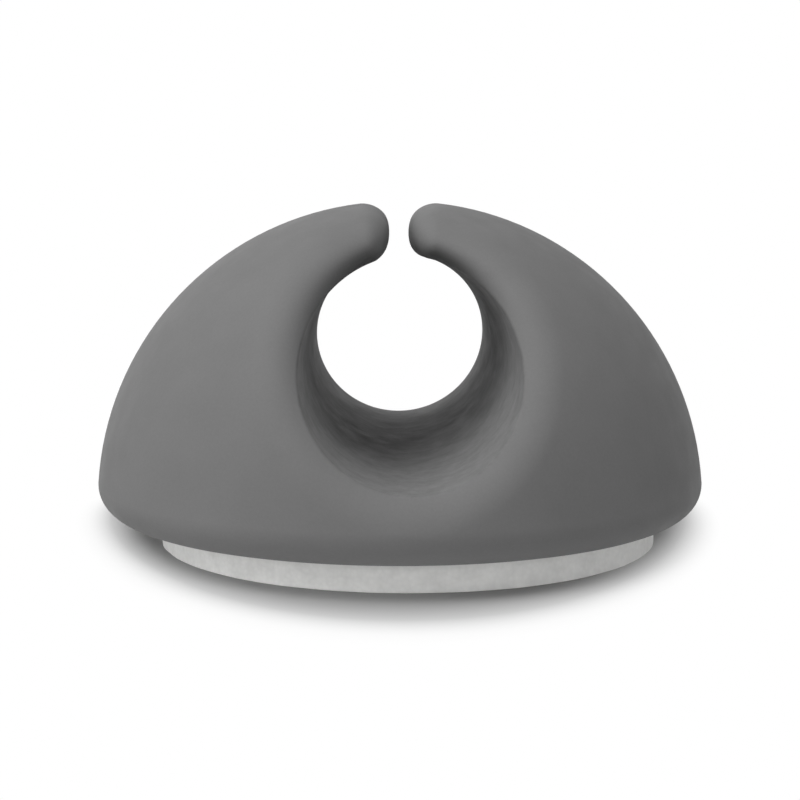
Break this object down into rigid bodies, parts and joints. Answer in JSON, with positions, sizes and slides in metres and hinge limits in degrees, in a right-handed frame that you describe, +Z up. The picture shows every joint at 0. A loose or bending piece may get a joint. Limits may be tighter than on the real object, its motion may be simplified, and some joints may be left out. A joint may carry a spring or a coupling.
{
  "type": "cable clip",
  "caption": "Soft dome-shaped desk clip with a round cable channel under a narrow top slot, on a round adhesive foam pad.",
  "frame": {"origin": "centre of the dome's outline on the underside of the pad", "axes": "+Z up through the slot, +Y along the cable channel towards the back of the picture, +X to the picture's right"},
  "size_m": [0.028, 0.028, 0.0155],
  "materials": {
    "soft_grey": "matt moulded elastomer",
    "foam_pad": "fine closed-cell foam"
  },
  "bodies": {
    "root": {"clip_body": "soft_grey", "adhesive_pad": "foam_pad"}
  },
  "joints": []
}
